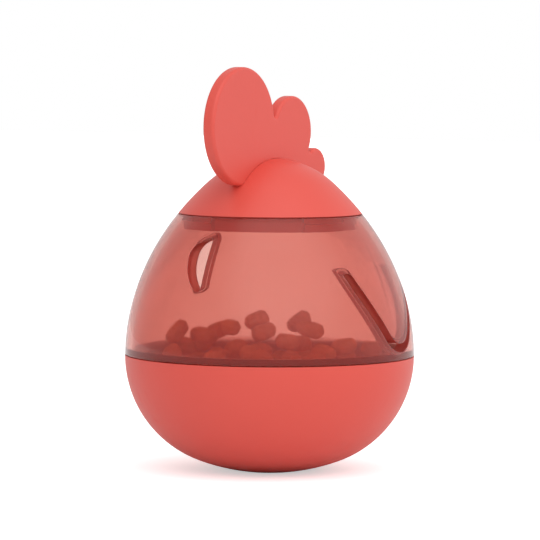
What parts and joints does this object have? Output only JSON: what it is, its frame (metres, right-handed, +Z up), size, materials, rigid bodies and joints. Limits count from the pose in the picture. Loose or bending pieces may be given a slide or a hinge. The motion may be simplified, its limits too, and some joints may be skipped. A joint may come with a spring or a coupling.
{
  "type": "cat treat dispenser toy",
  "caption": "Roly-poly egg-shaped treat dispenser for cats: weighted bowl, clear middle with a half-drop opening and a V slot, domed cap with an upright comb.",
  "frame": {"origin": "centre of the small flat foot, on the ground", "axes": "+Z up along the egg's axis, -Y the way the hen looks, +X the hen's left; the comb stands in the plane X = 0"},
  "size_m": [0.09, 0.09, 0.1256],
  "materials": {
    "bowl_plastic": "satin",
    "weight_iron": "matte",
    "tray_plastic": "satin",
    "screw_steel": "zinc",
    "baked_treat": "dry",
    "window_plastic": "gloss",
    "cap_plastic": "satin",
    "comb_plastic": "satin"
  },
  "bodies": {
    "base": {"lower_bowl": "bowl_plastic", "counterweight": "weight_iron", "treat_tray": "tray_plastic", "tray_screws": "screw_steel", "treats": "baked_treat"},
    "window": {"window_shell": "window_plastic"},
    "cap": {"cap_dome": "cap_plastic", "comb": "comb_plastic", "comb_retainer": "tray_plastic", "comb_screws": "screw_steel"}
  },
  "joints": [
    {"name": "window_lift", "type": "slide", "parent": "base", "child": "window", "axis": [0, 0, 1], "range_m": [0, 0.04]},
    {"name": "cap_lift", "type": "slide", "parent": "window", "child": "cap", "axis": [0, 0, 1], "range_m": [0, 0.03]}
  ]
}
